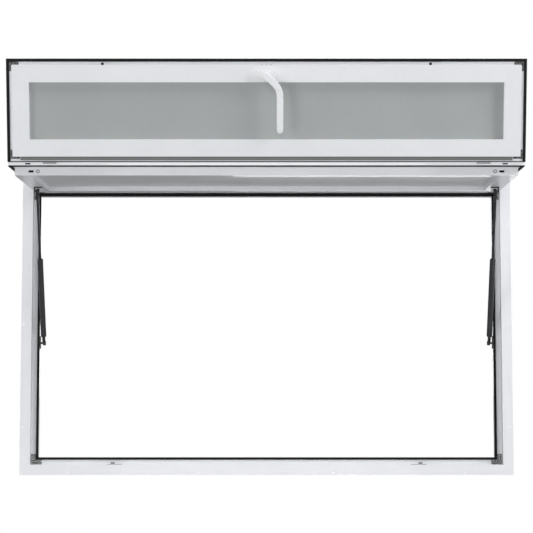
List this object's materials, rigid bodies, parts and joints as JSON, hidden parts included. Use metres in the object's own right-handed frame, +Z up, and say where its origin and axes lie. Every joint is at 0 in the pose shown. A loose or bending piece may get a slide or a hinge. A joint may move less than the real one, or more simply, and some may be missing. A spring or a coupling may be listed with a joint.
{
  "type": "folding serving window with crank handle",
  "caption": "Top-hung serving window in a flanged frame: its leaf folds in two, gas struts hold it open and a cranked lever locks it.",
  "frame": {"origin": "centre of the flange's side screw pattern, in the plane of the flange's back face", "axes": "+X along the window, to the right seen from outside; -Y outside, towards the viewer; +Z up. The rest pose is open"},
  "size_m": [1.568, 0.7869, 1.1942],
  "materials": {
    "white_paint": "satin white powder coat on aluminium",
    "handle_white": "satin white powder coat",
    "seal_rubber": "matt black rubber",
    "panel_core": "honeycomb, hidden between the skins",
    "upper_panel": "satin grey coat",
    "sash_panel": "satin grey coat, faintly green",
    "corner_key": "dark moulded plastic with a fine grain",
    "lock_metal": "dark zinc-plated steel",
    "stud_metal": "black-coated steel",
    "hinge_steel": "brushed",
    "strut_end": "black moulded plastic",
    "strut_rod": "black nitrided rod, polished",
    "strut_tube": "semi-gloss black paint"
  },
  "bodies": {
    "frame": {"frame_head": "white_paint", "frame_sill": "white_paint", "frame_jamb_left": "white_paint", "frame_jamb_right": "white_paint", "frame_gasket": "seal_rubber", "frame_corner_keys": "corner_key", "keeper_left": "lock_metal", "keeper_right": "lock_metal", "head_hinge_fixed_left": "white_paint", "head_hinge_fixed_middle": "white_paint", "head_hinge_fixed_right": "white_paint", "head_hinge_pin_left": "hinge_steel", "head_hinge_pin_middle": "hinge_steel", "head_hinge_pin_right": "hinge_steel", "lower_stud_left": "stud_metal", "lower_stud_right": "stud_metal"},
    "upper_leaf": {"upper_top_rail": "white_paint", "upper_fold_rail": "white_paint", "upper_stile_left": "white_paint", "upper_stile_right": "white_paint", "upper_panel": "upper_panel", "upper_panel_core": "panel_core", "upper_seal": "seal_rubber", "upper_corner_keys": "corner_key", "head_hinge_leaf_left": "white_paint", "head_hinge_leaf_middle": "white_paint", "head_hinge_leaf_right": "white_paint", "fold_hinge_upper_left": "hinge_steel", "fold_hinge_upper_right": "hinge_steel", "upper_stud_left": "stud_metal", "upper_stud_right": "stud_metal", "upper_end_plugs": "white_paint"},
    "sash": {"sash_free_rail": "white_paint", "sash_fold_rail": "white_paint", "sash_stile_left": "white_paint", "sash_stile_right": "white_paint", "sash_panel": "sash_panel", "sash_panel_core": "panel_core", "sash_seal": "seal_rubber", "sash_corner_keys": "corner_key", "fold_hinge_lower_left": "hinge_steel", "fold_hinge_lower_right": "hinge_steel", "fold_pin_left": "hinge_steel", "fold_pin_right": "hinge_steel", "handle_base": "handle_white", "gear_case": "lock_metal"},
    "handle_lever": {"lever": "handle_white", "lever_spindle": "hinge_steel"},
    "lock_left": {"lock_rod_left": "hinge_steel", "lock_pin_left": "lock_metal"},
    "lock_right": {"lock_rod_right": "hinge_steel", "lock_pin_right": "lock_metal"},
    "strut_rod_left": {"strut_rod_left": "strut_rod", "strut_rod_end_left": "strut_end"},
    "strut_rod_right": {"strut_rod_right": "strut_rod", "strut_rod_end_right": "strut_end"},
    "strut_tube_left": {"strut_tube_left": "strut_tube", "strut_tube_end_left": "strut_end"},
    "strut_tube_right": {"strut_tube_right": "strut_tube", "strut_tube_end_right": "strut_end"}
  },
  "joints": [
    {"name": "head_hinge", "type": "hinge", "parent": "frame", "child": "upper_leaf", "pos_m": [0, -0.012, 0.46], "axis": [1, 0, 0], "range_deg": [0, 86.2]},
    {"name": "fold_hinge", "type": "hinge", "parent": "upper_leaf", "child": "sash", "pos_m": [0, -0.61574, 0.4209], "axis": [1, 0, 0], "range_deg": [0, 79.5]},
    {"name": "handle_turn", "type": "hinge", "parent": "sash", "child": "handle_lever", "pos_m": [0, -0.71264, 0.65936], "axis": [0, 0.969, 0.247], "range_deg": [0, 90]},
    {"name": "lock_slide_left", "type": "slide", "parent": "sash", "child": "lock_left", "axis": [-1, 0, 0], "range_m": [0, 0.016]},
    {"name": "lock_slide_right", "type": "slide", "parent": "sash", "child": "lock_right", "axis": [1, 0, 0], "range_m": [0, 0.016]},
    {"name": "strut_swing_left", "type": "hinge", "parent": "upper_leaf", "child": "strut_rod_left", "pos_m": [-0.715, -0.2145, 0.40045], "axis": [1, 0, 0], "range_deg": [-114.35, 0]},
    {"name": "strut_stroke_left", "type": "slide", "parent": "strut_rod_left", "child": "strut_tube_left", "axis": [0, -0.4886, 0.8725], "range_m": [0, 0.21285]},
    {"name": "strut_swing_right", "type": "hinge", "parent": "upper_leaf", "child": "strut_rod_right", "pos_m": [0.715, -0.2145, 0.40045], "axis": [1, 0, 0], "range_deg": [-114.35, 0]},
    {"name": "strut_stroke_right", "type": "slide", "parent": "strut_rod_right", "child": "strut_tube_right", "axis": [0, -0.4886, 0.8725], "range_m": [0, 0.21285]}
  ],
  "couplings": [
    {"joint": "lock_slide_left", "follows": "handle_turn", "m_per_rad": 0.010186},
    {"joint": "lock_slide_right", "follows": "handle_turn", "m_per_rad": 0.010186},
    {"joint": "strut_swing_left", "follows": "head_hinge", "ratio": -1.3264},
    {"joint": "strut_stroke_left", "follows": "head_hinge", "m_per_rad": 0.14144},
    {"joint": "strut_swing_right", "follows": "head_hinge", "ratio": -1.3264},
    {"joint": "strut_stroke_right", "follows": "head_hinge", "m_per_rad": 0.14144}
  ]
}
